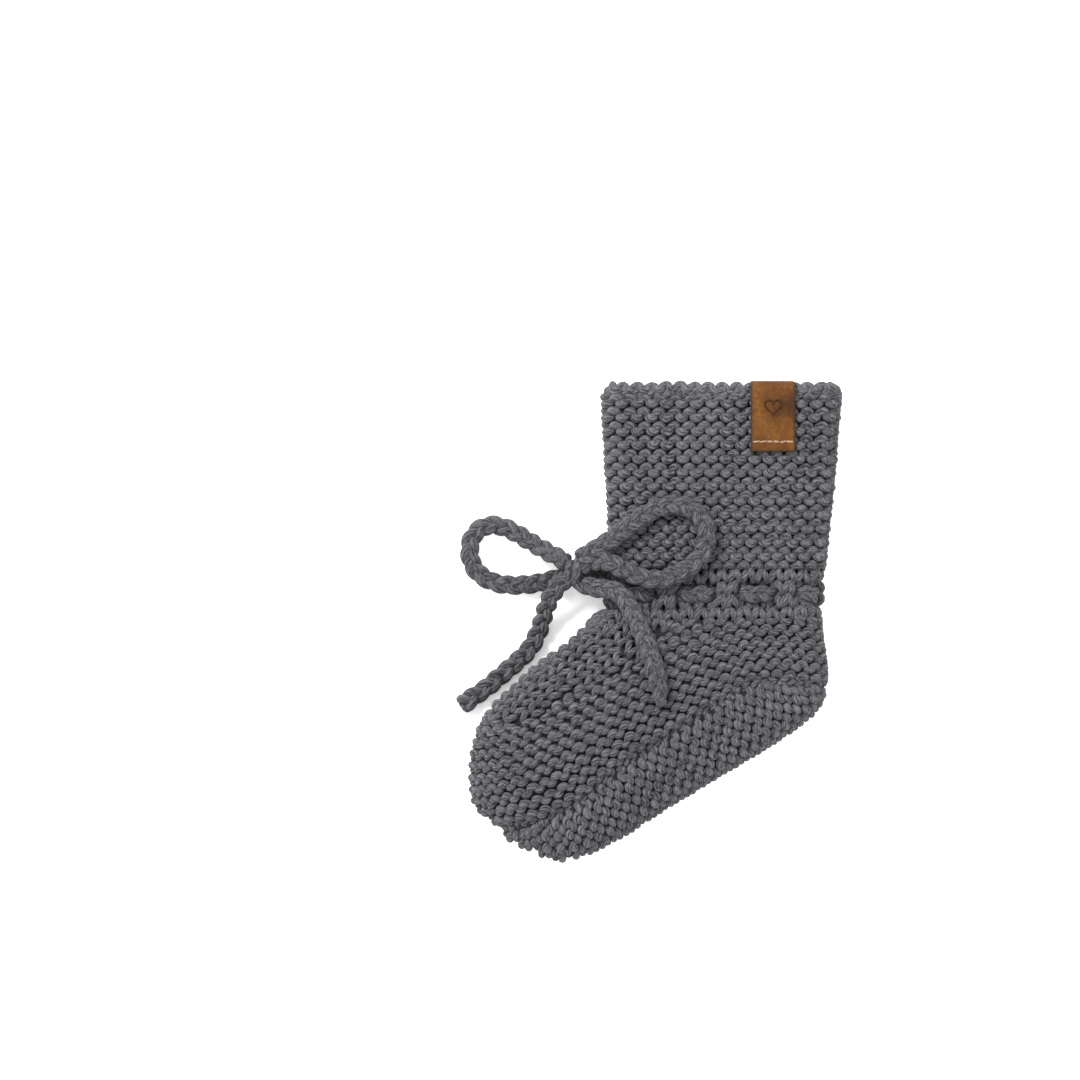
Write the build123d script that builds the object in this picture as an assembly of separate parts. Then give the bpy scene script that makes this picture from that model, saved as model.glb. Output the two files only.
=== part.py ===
from build123d import *
import os
from math import atan2, cos, pi, radians, sin, tan

import numpy as np

# A knitted baby bootie lying on its side, in millimetres. +Z is up from the table, the leg
# runs along +Y, and the toe points down and to the left, towards -X and -Y. The origin is
# under the middle of the bootie's own box, on the table, with the free tie cord left out.

# ---- driving dimensions --------------------------------------------------------------------
WALL = 4.0              # thickness of the garter-stitch fabric
CUFF_TOP = 66.0         # mouth of the leg
EDGE_HEIGHT = 3.4       # thicker cast-on edge round the mouth
BAND_TOP = 15.0         # ankle band with the eyelets, from here ...
BAND_BOTTOM = 1.5       # ... down to here
BAND_WALL = 5.0         # the band is thicker, inwards, to hold the cord
SEAM_WIDTH = 1.6        # a row of sewing yarn between two edges
SEAM_Z = 8.5            # height of the back seam above the table
CORD_D = 4.6            # braided tie cord
DRAWCORD_D = 3.8        # the same cord, squeezed inside the band
DRAWCORD_Y = 8.2
EYELET_WIDTH = 9.0
EYELET_HEIGHT = 4.6
UPPER_EYELETS = ((-5.5, 13.0), (11.0, 14.3), (27.5, 14.1), (43.2, 11.2))   # centre x and floor z
LOWER_EYELETS = ((33.0, 2.7), (16.0, 2.5), (-1.0, 2.9))                     # centre x and ceiling z
EYELET_REACH = 9.0      # past the band's surface
KNOT_CENTRE = (-23.0, 14.6, 8.6)
KNOT_SIZE = (8.4, 10.4, 12.4)
TAB_WIDTH = 12.3
TAB_LENGTH = 18.4       # of each leaf, from the mouth down
TAB_THICKNESS = 1.2
TAB_CENTRE_X = 32.4
STITCH_COUNT = 5
STITCH_LENGTH = 1.4
STITCH_WIDTH = 0.7
STITCH_INSET = 3.0      # from the tab's lower edge
UPPER_CORNER = 0.72     # a cross-section's corner radius above its middle, as a share of its rise
LOWER_CORNER = 0.90     # and below, where it rests flatter on the table
BEYOND = 160.0          # reaches past the bootie in every direction

# Cross-sections from above the mouth to the toe: the ends of the chord at the front or top of
# the foot and at the back or sole (x, y, x, y), and the thickness there.
STATIONS = (
    (-16.3, 70.0, 52.9, 70.0, 15.4),
    (-15.9, 64.5, 52.4, 64.5, 15.5),
    (-15.6, 59.0, 51.8, 59.0, 15.6),
    (-14.5, 42.0, 50.4, 42.0, 16.2),
    (-13.8, 25.0, 48.6, 25.0, 16.6),
    (-13.8, 16.0, 47.7, 16.0, 16.8),
    (-14.0, 9.0, 46.9, 8.0, 17.0),
    (-15.6, 3.8, 47.1, -4.0, 20.0),
    (-18.4, 1.2, 48.2, -13.6, 23.6),
    (-21.4, -1.8, 46.4, -22.8, 25.8),
    (-24.6, -4.8, 39.0, -29.9, 27.0),
    (-28.6, -7.8, 21.3, -41.0, 27.4),
    (-33.6, -11.4, 3.1, -52.0, 27.0),
    (-39.2, -16.2, -9.7, -60.2, 26.0),
    (-44.4, -21.2, -20.6, -65.6, 24.4),
    (-48.4, -26.0, -29.6, -66.7, 22.4),
    (-51.0, -31.2, -37.0, -63.7, 19.6),
    (-52.4, -37.6, -43.6, -59.9, 16.0),
    (-52.4, -42.6, -48.0, -55.2, 11.4),
)
# The groove between foot wall and sole, heel to toe, and the edge of the instep flap.
GROOVE = ((60.0, -18.4), (46.9, -17.6), (34.5, -15.8), (26.9, -16.4), (16.9, -22.0), (3.2, -31.1),
          (-12.3, -41.6), (-21.4, -49.6), (-30.7, -54.2), (-43.8, -57.0), (-60.0, -59.0))
FLAP_EDGE = ((4.1, 20.0), (4.1, -1.3), (-6.9, -12.7), (-26.7, -19.8), (-36.6, -28.7), (-48.5, -24.0),
             (-62.0, -19.0))

# The stretch of cord inside the ankle band: out of the knot, through the front of the band,
# over the upper layer, round the back, under the lower layer and out to the knot again.
DRAWCORD_ROUTE = (
    (-19.8, 14.8, 8.1), (-16.2, 12.0, 8.3), (-11.4, 8.9, 10.5), (-5.0, DRAWCORD_Y, 12.6),
    (4.5, DRAWCORD_Y, 14.0), (14.0, DRAWCORD_Y, 14.5), (23.5, DRAWCORD_Y, 14.3),
    (31.5, DRAWCORD_Y, 13.6), (38.0, DRAWCORD_Y, 12.7), (42.6, DRAWCORD_Y, 11.4),
    (44.3, DRAWCORD_Y, 8.2), (42.8, DRAWCORD_Y, 4.6), (38.0, DRAWCORD_Y, 3.0),
    (30.5, DRAWCORD_Y, 2.7), (21.0, DRAWCORD_Y, 2.5), (11.5, DRAWCORD_Y, 2.55),
    (2.5, DRAWCORD_Y, 2.7), (-5.0, DRAWCORD_Y, 3.1), (-11.5, 8.6, 4.0), (-16.4, 11.2, 4.1),
    (-19.8, 14.0, 4.1),
)

# Routes of the free cord, from where each stretch leaves the knot.
ROUTES = {
    "tie_left_loop": (
        (-25.4, 17.4, 9.8), (-30.7, 20.2, 7.8), (-36.4, 23.6, 4.6), (-42.0, 27.0, 2.7),
        (-47.2, 28.0, 2.5), (-51.4, 25.4, 2.5), (-52.8, 20.6, 2.5), (-51.6, 15.6, 2.5),
        (-48.0, 12.2, 2.5), (-42.0, 10.5, 2.5), (-35.2, 10.9, 2.6), (-29.8, 11.9, 3.2),
        (-25.6, 13.2, 4.4)),
    "tie_left_tail": (
        (-25.4, 12.6, 9.8), (-28.9, 9.6, 9.4), (-31.2, 4.4, 6.2), (-31.9, -1.4, 3.0),
        (-34.5, -6.6, 2.6), (-38.9, -10.0, 2.5), (-43.2, -14.0, 2.6), (-47.9, -18.3, 2.6),
        (-54.4, -22.8, 2.6)),
    "tie_right_loop": (
        (-21.0, 18.4, 12.6), (-16.8, 21.0, 16.4), (-10.8, 24.8, 18.8), (-5.6, 29.2, 19.2),
        (0.2, 32.6, 19.5), (6.2, 33.6, 19.7), (11.2, 31.4, 19.8), (14.0, 27.0, 19.9),
        (13.9, 21.8, 20.0), (11.2, 17.4, 20.0), (6.0, 13.8, 19.9), (-0.2, 11.9, 19.4),
        (-6.2, 12.8, 18.6), (-11.8, 14.6, 17.0), (-16.2, 15.2, 14.8), (-20.2, 13.8, 12.3)),
    "tie_right_tail": (
        (-20.6, 9.8, 9.9), (-16.6, 9.0, 13.4), (-11.4, 7.6, 17.4), (-7.6, 3.8, 21.2),
        (-4.6, -1.6, 24.8), (-2.4, -7.0, 27.8), (-0.8, -12.2, 29.6), (0.2, -16.8, 30.2),
        (1.1, -22.0, 30.4)),
}


# ---- body of the bootie --------------------------------------------------------------------
def halved_stations():
    """The stations and one more between each two, on a natural spline through them all."""
    values = np.array(STATIONS)
    steps = np.diff(values[:, :4], axis=0)
    spans = (np.hypot(steps[:, 0], steps[:, 1]) + np.hypot(steps[:, 2], steps[:, 3])) / 2
    system = np.eye(len(values))
    right = np.zeros_like(values)
    for i in range(1, len(values) - 1):
        system[i, i - 1:i + 2] = (spans[i - 1], 2 * (spans[i - 1] + spans[i]), spans[i])
        slopes = np.diff(values[i - 1:i + 2], axis=0) / spans[i - 1:i + 1, None]
        right[i] = 6 * (slopes[1] - slopes[0])
    bends = np.linalg.solve(system, right)
    between = (values[1:] + values[:-1]) / 2 - (bends[1:] + bends[:-1]) * spans[:, None] ** 2 / 16
    halved = np.empty((2 * len(values) - 1, values.shape[1]))
    halved[0::2] = values
    halved[1::2] = between
    return halved.tolist()


def arch(plane, half_width, rise, corner, side):
    """Three tangent arcs, like a basket handle: side 1 above the chord, from the back to the
    front, and side -1 below it, from the front to the back."""
    crown = (half_width ** 2 + rise ** 2 - 2 * half_width * corner) / (2 * (rise - corner))
    lean = atan2(half_width - corner, crown - rise)
    halfway = (pi / 2 - lean) / 2
    springing = (half_width, 0)
    shoulder_middle = (half_width - corner + corner * cos(halfway), corner * sin(halfway))
    shoulder = (crown * sin(lean), rise - crown + crown * cos(lean))

    def place(point, mirror=1):
        return plane.from_local_coords((side * mirror * point[0], side * point[1], 0))

    return [
        ThreePointArc(place(springing), place(shoulder_middle), place(shoulder)),
        ThreePointArc(place(shoulder), place((0, rise)), place(shoulder, -1)),
        ThreePointArc(place(shoulder, -1), place(shoulder_middle, -1), place(springing, -1)),
    ]


def section_wire(station, inset):
    """One closed cross-section, moved inwards by inset."""
    front_x, front_y, back_x, back_y, thickness = station
    front = Vector(front_x, front_y)
    back = Vector(back_x, back_y)
    chord = (back - front).normalized()
    middle = (front + back) / 2 + Vector(0, 0, thickness / 2)
    plane = Plane(origin=middle, x_dir=chord, z_dir=chord.cross(Vector(0, 0, 1)))
    half_width = (back - front).length / 2 - inset
    rise = thickness / 2 - inset
    upper = arch(plane, half_width, rise, UPPER_CORNER * rise, 1)
    lower = arch(plane, half_width, rise, LOWER_CORNER * rise, -1)
    return Wire(upper + lower)


def body(inset):
    """The whole sock-shaped body as one solid, moved inwards by inset."""
    stations = halved_stations()
    if inset > 0:
        stations = stations[:-2]
    return Solid.make_loft([section_wire(station, inset) for station in stations])


def slab(y_low, y_high):
    """Everything between two heights along the leg."""
    return Pos(0, (y_low + y_high) / 2, 0) * Box(BEYOND, y_high - y_low, BEYOND)


def prism(line):
    """A closed outline in plan, as a tall solid."""
    return Pos(0, 0, -BEYOND / 2) * extrude(make_face(line), BEYOND)


def region_below(points, shift):
    """Everything on the sole's side of an open line through points, moved along Y by shift."""
    moved = [(x, y + shift) for x, y in points]
    line = Spline(*moved)
    corners = Polyline(moved[-1], (moved[-1][0], -BEYOND / 2), (moved[0][0], -BEYOND / 2), moved[0])
    return prism(line + corners)


def flap_region():
    start, turn, *rest = FLAP_EDGE
    line = Line(start, turn) + Spline(turn, *rest)
    corners = Polyline(FLAP_EDGE[-1], (FLAP_EDGE[-1][0], start[1]), start)
    return prism(line + corners)


def back_seam_region(y_low, y_high):
    """A thin slice that leaves through the back edge of the leg and heel."""
    return Pos(20 + BEYOND / 2, (y_low + y_high) / 2, SEAM_Z) * Box(BEYOND, y_high - y_low, SEAM_WIDTH)


def split_at_seam(shell, name, y_low, y_high):
    """Cut a ring of fabric at the back seam, and keep the seam as a piece of its own."""
    region = back_seam_region(y_low, y_high)
    parts["back_seam_" + name] = shell & region
    return shell - region


parts = {}
outer = body(0)
inner = body(WALL)
fabric = outer - inner
sole_side = region_below(GROOVE, -SEAM_WIDTH / 2)
seam_side = region_below(GROOVE, SEAM_WIDTH / 2)

parts["cuff_edge"] = fabric & slab(CUFF_TOP - EDGE_HEIGHT, CUFF_TOP)
cuff = fabric & slab(BAND_TOP, CUFF_TOP - EDGE_HEIGHT)
parts["cuff"] = split_at_seam(cuff, "cuff", BAND_TOP, CUFF_TOP)

foot = fabric & slab(-BEYOND / 2, BAND_BOTTOM)
upper_foot = foot - seam_side
parts["instep_flap"] = upper_foot & flap_region()
parts["foot_wall"] = split_at_seam(upper_foot - flap_region(), "heel", -BEYOND / 4, BAND_BOTTOM)
parts["sole_seam"] = foot & (seam_side - sole_side)
parts["sole"] = foot & sole_side


# ---- cords ---------------------------------------------------------------------------------
def rounded_path(points):
    """Straight runs joined by arcs as large as their runs allow."""
    radii = []
    for before, here, after in zip(points, points[1:], points[2:]):
        run_in = Vector(*here) - Vector(*before)
        run_out = Vector(*after) - Vector(*here)
        half_turn = radians(run_in.get_angle(run_out)) / 2
        radii.append(0.45 * min(run_in.length, run_out.length) / tan(half_turn))
    return FilletPolyline(*points, radius=radii), radii


def tube(name, points, diameter):
    path, radii = rounded_path(points)
    start = Plane(origin=path @ 0, z_dir=path % 0)
    solid = sweep(start * Circle(diameter / 2), path=path)
    share = solid.volume / (pi * diameter ** 2 / 4 * path.length)
    print(f"{name}: length {path.length:.1f}, volume {share:.3f} of section x length, radii",
          " ".join(f"{radius:.0f}" for radius in radii))
    return solid


for cord, points in ROUTES.items():
    parts[cord] = tube(cord, points, CORD_D)
parts["drawcord"] = tube("drawcord", DRAWCORD_ROUTE, DRAWCORD_D)
parts["bow_knot"] = Pos(*KNOT_CENTRE) * scale(Sphere(0.5), by=KNOT_SIZE)


# ---- ankle band, the cord's casing ---------------------------------------------------------
band = (outer - body(BAND_WALL)) & slab(BAND_BOTTOM, BAND_TOP)
band -= parts["drawcord"]
for eyelets, outward in ((UPPER_EYELETS, 1), (LOWER_EYELETS, -1)):
    for x, z in eyelets:
        middle_z = z + outward * EYELET_REACH / 2
        band -= Pos(x, DRAWCORD_Y, middle_z) * Box(EYELET_WIDTH, EYELET_HEIGHT, EYELET_REACH)
parts["ankle_band"] = split_at_seam(band, "ankle", BAND_BOTTOM, BAND_TOP)


# ---- leather tab ---------------------------------------------------------------------------
tab_space = Pos(TAB_CENTRE_X, CUFF_TOP + TAB_THICKNESS - (TAB_LENGTH + TAB_THICKNESS) / 2, 15) * Box(
    TAB_WIDTH, TAB_LENGTH + TAB_THICKNESS, 16)
folded = (body(-TAB_THICKNESS) - body(WALL + TAB_THICKNESS)) & tab_space
parts["label_tab"] = folded - (fabric & slab(0, CUFF_TOP))

stitch_layer = body(-TAB_THICKNESS - STITCH_WIDTH) - body(-TAB_THICKNESS)
stitch_y = CUFF_TOP - TAB_LENGTH + STITCH_INSET
stitches = []
for index in range(STITCH_COUNT):
    x = TAB_CENTRE_X + (index - (STITCH_COUNT - 1) / 2) * TAB_WIDTH / STITCH_COUNT
    stitches += (stitch_layer & Pos(x, stitch_y, 20) * Box(STITCH_LENGTH, STITCH_WIDTH, 12)).solids()
parts["label_stitching"] = Compound(stitches)


# ---- write the parts -----------------------------------------------------------------------
os.makedirs("parts", exist_ok=True)
for name, shape in parts.items():
    export_step(shape, f"parts/{name}.step")
    print(name, len(shape.solids()), round(shape.volume, 1))
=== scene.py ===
"""A knitted baby bootie lying on its side. Every stitch is a real loop of yarn, swept along rows
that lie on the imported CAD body. Lengths are in millimetres until a mesh is made."""
import bpy
import math

import numpy as np
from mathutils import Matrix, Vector


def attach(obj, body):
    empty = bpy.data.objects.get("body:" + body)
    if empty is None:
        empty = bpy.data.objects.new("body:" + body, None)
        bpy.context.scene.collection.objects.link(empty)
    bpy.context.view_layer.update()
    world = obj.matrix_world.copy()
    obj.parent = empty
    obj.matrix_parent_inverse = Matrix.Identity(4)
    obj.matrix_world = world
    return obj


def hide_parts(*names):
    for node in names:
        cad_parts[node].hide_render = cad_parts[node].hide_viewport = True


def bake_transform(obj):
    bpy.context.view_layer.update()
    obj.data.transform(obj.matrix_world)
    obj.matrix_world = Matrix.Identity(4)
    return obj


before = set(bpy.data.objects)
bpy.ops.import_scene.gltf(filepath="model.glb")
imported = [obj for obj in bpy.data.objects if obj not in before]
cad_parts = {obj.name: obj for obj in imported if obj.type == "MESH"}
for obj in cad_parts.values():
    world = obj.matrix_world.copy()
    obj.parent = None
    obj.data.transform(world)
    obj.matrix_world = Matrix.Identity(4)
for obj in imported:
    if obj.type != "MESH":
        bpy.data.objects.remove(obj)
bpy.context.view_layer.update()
MM = 0.001
rng = np.random.default_rng(7)

# ---- the body's cross-sections, as the CAD has them, with more of them at the toe's tip ----
STATIONS = np.array((
    # front x, front y, back x, back y, thickness, height of the middle
    (-16.3, 70.0, 52.9, 70.0, 15.4, 7.7),
    (-15.9, 64.5, 52.4, 64.5, 15.5, 7.75),
    (-15.6, 59.0, 51.8, 59.0, 15.6, 7.8),
    (-14.5, 42.0, 50.4, 42.0, 16.2, 8.1),
    (-13.8, 25.0, 48.6, 25.0, 16.6, 8.3),
    (-13.8, 16.0, 47.7, 16.0, 16.8, 8.4),
    (-14.0, 9.0, 46.9, 8.0, 17.0, 8.5),
    (-15.6, 3.8, 47.1, -4.0, 20.0, 10.0),
    (-18.4, 1.2, 48.2, -13.6, 23.6, 11.8),
    (-21.4, -1.8, 46.4, -22.8, 25.8, 12.9),
    (-24.6, -4.8, 39.0, -29.9, 27.0, 13.5),
    (-28.6, -7.8, 21.3, -41.0, 27.4, 13.7),
    (-33.6, -11.4, 3.1, -52.0, 27.0, 13.5),
    (-39.2, -16.2, -9.7, -60.2, 26.0, 13.0),
    (-44.4, -21.2, -20.6, -65.6, 24.4, 12.2),
    (-48.4, -26.0, -29.6, -66.7, 22.4, 11.2),
    (-51.0, -31.2, -37.0, -63.7, 19.6, 9.8),
    (-52.4, -37.6, -43.6, -59.9, 16.0, 8.0),
    (-52.6, -42.6, -48.0, -55.2, 11.4, 6.3),
    (-52.6, -45.2, -50.2, -53.0, 8.0, 6.0),
    (-52.4, -47.6, -51.8, -50.6, 3.6, 5.8),
))
UPPER_CORNER = 0.72
LOWER_CORNER = 0.90
CUFF_TOP = 66.0
BAND_TOP = 15.0
BAND_BOTTOM = 1.5
MID_DEPTH = 2.0          # the fabric's middle layer, below its outer face


def natural_spline(values, spans, per_span):
    """A smooth curve through rows of values, spans apart, with per_span points to each span."""
    count = len(values)
    system = np.eye(count)
    right = np.zeros_like(values)
    for i in range(1, count - 1):
        system[i, i - 1:i + 2] = (spans[i - 1], 2 * (spans[i - 1] + spans[i]), spans[i])
        slopes = np.diff(values[i - 1:i + 2], axis=0) / spans[i - 1:i + 1, None]
        right[i] = 6 * (slopes[1] - slopes[0])
    bend = np.linalg.solve(system, right)
    place = np.linspace(0, count - 1, (count - 1) * per_span + 1)
    i = np.clip(place.astype(int), 0, count - 2)
    b = (place - i)[:, None]
    a = 1 - b
    return (a * values[i] + b * values[i + 1]
            + ((a ** 3 - a) * bend[i] + (b ** 3 - b) * bend[i + 1]) * spans[i][:, None] ** 2 / 6)


def smooth_line(points, count):
    """Points evenly spaced along a smooth curve through points."""
    points = np.asarray(points, float)
    if len(points) > 2:
        spans = np.linalg.norm(np.diff(points, axis=0), axis=1)
        points = natural_spline(points, spans, 24)
    return resample(points, count)


def arc_lengths(points):
    steps = np.linalg.norm(np.diff(points, axis=0), axis=1)
    return np.concatenate(([0], np.cumsum(steps)))


def at_lengths(points, lengths, wanted):
    return np.stack([np.interp(wanted, lengths, points[:, k]) for k in range(points.shape[1])], axis=1)


def unit(vectors):
    return vectors / np.maximum(np.linalg.norm(vectors, axis=-1, keepdims=True), 1e-9)


def resample(points, count):
    lengths = arc_lengths(points)
    return at_lengths(points, lengths, np.linspace(0, lengths[-1], count))


SECTION_STEPS = 16
STATION_STEPS = np.diff(STATIONS, axis=0)
STATION_SPANS = (np.hypot(STATION_STEPS[:, 0], STATION_STEPS[:, 1])
                 + np.hypot(STATION_STEPS[:, 2], STATION_STEPS[:, 3])) / 2
SECTIONS = natural_spline(STATIONS, STATION_SPANS, SECTION_STEPS)
FRONT, BACK = SECTIONS[:, 0:2], SECTIONS[:, 2:4]
CHORD = BACK - FRONT
HALF = np.linalg.norm(CHORD, axis=1) / 2
CHORD = CHORD / (2 * HALF)[:, None]
RISE = SECTIONS[:, 4] / 2
MIDDLE_Z = SECTIONS[:, 5]


def profile(half, rise, share, p):
    """Height of a basket-handle arch over a point p from the chord's middle."""
    corner = share * rise
    crown = (half ** 2 + rise ** 2 - 2 * half * corner) / (2 * (rise - corner))
    lean = np.arctan2(half - corner, crown - rise)
    inner = rise - crown + np.sqrt(np.maximum(crown ** 2 - p ** 2, 0))
    reach = np.maximum(corner ** 2 - (np.abs(p) - (half - corner)) ** 2, 0)
    return np.where(np.abs(p) <= crown * np.sin(lean), inner, np.sqrt(reach))


# The surface as two grids of points, one above the fold and one below, with their normals.
TURN = np.linspace(0, 1, 129)


def surface_grid(side):
    p = -np.cos(math.pi * TURN)[None, :] * HALF[:, None]
    share = UPPER_CORNER if side > 0 else LOWER_CORNER
    height = profile(HALF[:, None], RISE[:, None], share, p)
    plan = FRONT[:, None, :] + CHORD[:, None, :] * (p + HALF[:, None])[..., None]
    return np.concatenate((plan, (MIDDLE_Z[:, None] + side * height)[..., None]), axis=2)


GRID = {side: surface_grid(side) for side in (1, -1)}


def grid_normals():
    """Outward normals, worked out round the whole section so that both halves agree at the folds."""
    ring = np.concatenate((GRID[1], GRID[-1][:, -2:0:-1]), axis=1)
    along = np.gradient(ring, axis=0)
    around = np.roll(ring, -1, axis=1) - np.roll(ring, 1, axis=1)
    normal = unit(np.cross(along, around))
    middle = ring.mean(axis=1, keepdims=True)
    if ((ring - middle) * normal).sum() < 0:
        normal = -normal
    count = len(TURN)
    upper = normal[:, :count]
    lower = np.concatenate((normal[:, :1], normal[:, count:][:, ::-1], normal[:, count - 1:count]), axis=1)
    return {1: upper, -1: lower}


NORMAL = grid_normals()


def locate(plan):
    """The section, as a fractional index, and the place along its chord, for points in plan."""
    offset = plan[:, None, :] - FRONT[None]
    side = offset[..., 0] * CHORD[None, :, 1] - offset[..., 1] * CHORD[None, :, 0]
    reach = (offset * CHORD[None]).sum(axis=2) - HALF[None]
    change = side[:, :-1] * side[:, 1:] <= 0
    miss = np.maximum(np.abs(reach[:, :-1]) - HALF[None, :-1], 0) + np.where(change, 0, 1e3)
    none = ~change.any(axis=1)
    best = miss.argmin(axis=1)
    rows = np.arange(len(plan))
    a, b = side[rows, best], side[rows, best + 1]
    share = np.where(np.abs(a - b) > 1e-12, a / np.where(np.abs(a - b) > 1e-12, a - b, 1), 0)
    end = np.abs(side).argmin(axis=1)
    index = np.where(none, end, best + np.clip(share, 0, 1))
    half = np.interp(index, np.arange(len(HALF)), HALF)
    front = at_lengths(FRONT, np.arange(len(FRONT)), index)
    chord = at_lengths(CHORD, np.arange(len(CHORD)), index)
    p = ((plan - front) * chord).sum(axis=1) - half
    return index, np.clip(p / half, -1, 1)


def look_up(table, index, place):
    """Bilinear reading of a surface grid."""
    turn = np.arccos(-place) / math.pi * (len(TURN) - 1)
    i = np.clip(index.astype(int), 0, table.shape[0] - 2)
    j = np.clip(turn.astype(int), 0, table.shape[1] - 2)
    fi = (index - i)[:, None]
    fj = (turn - j)[:, None]
    return ((1 - fi) * ((1 - fj) * table[i, j] + fj * table[i, j + 1])
            + fi * ((1 - fj) * table[i + 1, j] + fj * table[i + 1, j + 1]))


def lift(plan, side):
    """Points in plan put on the surface, above or below, with their normals."""
    index, place = locate(plan)
    return look_up(GRID[side], index, place), unit(look_up(NORMAL[side], index, place))


ROW_POINTS = 160


def eased(points, both_ends):
    """Points along a line in plan, closer together towards an end that lies on the outline."""
    g = np.linspace(0, 1, ROW_POINTS)
    f = (1 - np.cos(math.pi * g)) / 2 if both_ends else np.sin(math.pi / 2 * g)
    lengths = arc_lengths(points)
    return at_lengths(points, lengths, f * lengths[-1])


def over_and_under(plan, loop):
    """A row that follows a line in plan on the upper side and comes back under the lower side.
    A loop meets the outline at both ends; otherwise only the line's end is on the outline."""
    plan = eased(plan, loop)
    upper, upper_normal = lift(plan, 1)
    lower, lower_normal = lift(plan, -1)
    points = np.concatenate((upper, lower[::-1][1:]))
    normals = np.concatenate((upper_normal, lower_normal[::-1][1:]))
    return points, normals


# ---- meshes ----
def new_object(name, vertices, quads, uvs, material, body):
    mesh = bpy.data.meshes.new(name)
    count = len(quads)
    mesh.vertices.add(len(vertices))
    mesh.vertices.foreach_set("co", (vertices * MM).ravel())
    mesh.loops.add(4 * count)
    mesh.loops.foreach_set("vertex_index", quads.ravel().astype(np.int32))
    mesh.polygons.add(count)
    mesh.polygons.foreach_set("loop_start", 4 * np.arange(count, dtype=np.int32))
    mesh.polygons.foreach_set("loop_total", np.full(count, 4, np.int32))
    mesh.polygons.foreach_set("use_smooth", np.ones(count, bool))
    if uvs is not None:
        mesh.uv_layers.new(name="yarn").data.foreach_set("uv", np.asarray(uvs, np.float32).ravel())
    mesh.update(calc_edges=True)
    mesh.validate()
    piece = bpy.data.objects.new(name, mesh)
    bpy.context.scene.collection.objects.link(piece)
    piece.data.materials.append(material)
    if body:
        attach(piece, body)
    return piece


def ring_quads(rings, around, closed):
    """Quads between neighbouring rings, each of around points. Closed joins the last to the first."""
    i = np.arange(rings if closed else rings - 1)[:, None]
    j = np.arange(around)[None, :]
    ahead, beside = (i + 1) % rings, (j + 1) % around
    corners = (i * around + j, i * around + beside, ahead * around + beside, ahead * around + j)
    return np.stack(corners, axis=2).reshape(-1, 4)


SIDES = 8
END_BULGE = 0.55         # of the radius, how far a tube's rounded end stands out


class Yarns:
    """Collects swept tubes of yarn into one mesh."""

    def __init__(self):
        self.vertices, self.quads, self.uvs, self.total = [], [], [], 0

    def add(self, centre, normal, radius, closed=False, taper=0.6):
        """A tube along centre. Radius is one number or one per point; normal keeps the tube from
        turning."""
        count = len(centre)
        radius = np.broadcast_to(np.asarray(radius, float), (count,)).copy()
        centre = centre.copy()
        centre[:, 2] = np.maximum(centre[:, 2], radius)
        if closed:
            tangent = np.roll(centre, -1, axis=0) - np.roll(centre, 1, axis=0)
        else:
            tangent = np.gradient(centre, axis=0)
        tangent = unit(tangent)
        across = unit(np.cross(tangent, normal))
        upward = np.cross(across, tangent)
        length = arc_lengths(np.concatenate((centre, centre[:1])) if closed else centre)
        if not closed:
            # Two more rings round off each end.
            centre = np.concatenate(([centre[0] - tangent[0] * radius[0] * END_BULGE], centre,
                                     [centre[-1] + tangent[-1] * radius[-1] * END_BULGE]))
            across = np.concatenate((across[:1], across, across[-1:]))
            upward = np.concatenate((upward[:1], upward, upward[-1:]))
            radius = np.concatenate(([radius[0] * taper], radius, [radius[-1] * taper]))
            length = np.concatenate(([length[0]], length, [length[-1]]))
            count += 2
        turn = np.arange(SIDES) * 2 * math.pi / SIDES
        rings = (centre[:, None] + radius[:, None, None] * (
            np.cos(turn)[None, :, None] * across[:, None]
            + np.sin(turn)[None, :, None] * upward[:, None]))
        self.vertices.append(rings.reshape(-1, 3))
        self.quads.append(ring_quads(count, SIDES, closed) + self.total)
        steps = count if closed else count - 1
        uv = np.empty((steps, SIDES, 4, 2))
        uv[:, :, :2, 0] = length[:steps, None, None]
        uv[:, :, 2:, 0] = length[1:steps + 1, None, None]
        uv[:, :, (0, 3), 1] = np.arange(SIDES)[:, None] / SIDES
        uv[:, :, (1, 2), 1] = np.arange(1, SIDES + 1)[:, None] / SIDES
        self.uvs.append(uv.reshape(-1, 4, 2))
        self.total += count * SIDES
        if not closed:
            # The ends are closed with two quads and two more, like a folded octagon.
            for base, order in ((self.total - SIDES, (0, 1, 2, 3, 4, 5, 6, 7)),
                                (self.total - count * SIDES, (0, 7, 6, 5, 4, 3, 2, 1))):
                a = [base + k for k in order]
                caps = [(a[0], a[1], a[2], a[3]), (a[0], a[3], a[4], a[7]), (a[4], a[5], a[6], a[7])]
                self.quads.append(np.array(caps))
                self.uvs.append(np.zeros((3, 4, 2)))

    def build(self, name, material, body):
        return new_object(name, np.concatenate(self.vertices), np.concatenate(self.quads),
                          np.concatenate(self.uvs), material, body)


def per_sample(values, t, closed):
    """Numbers that belong to stitches, blended along the row. t counts stitches."""
    count = len(values)
    index = np.floor(t).astype(int)
    share = t - index
    share = share * share * (3 - 2 * share)
    if closed:
        near, far = index % count, (index + 1) % count
    else:
        near, far = np.clip(index, 0, count - 1), np.clip(index + 1, 0, count - 1)
    return values[near] * (1 - share) + values[far] * share


def flattened(angle, sharp=1.5):
    """A cosine with flatter tops and steeper sides."""
    return np.tanh(sharp * np.cos(angle)) / math.tanh(sharp)


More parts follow.
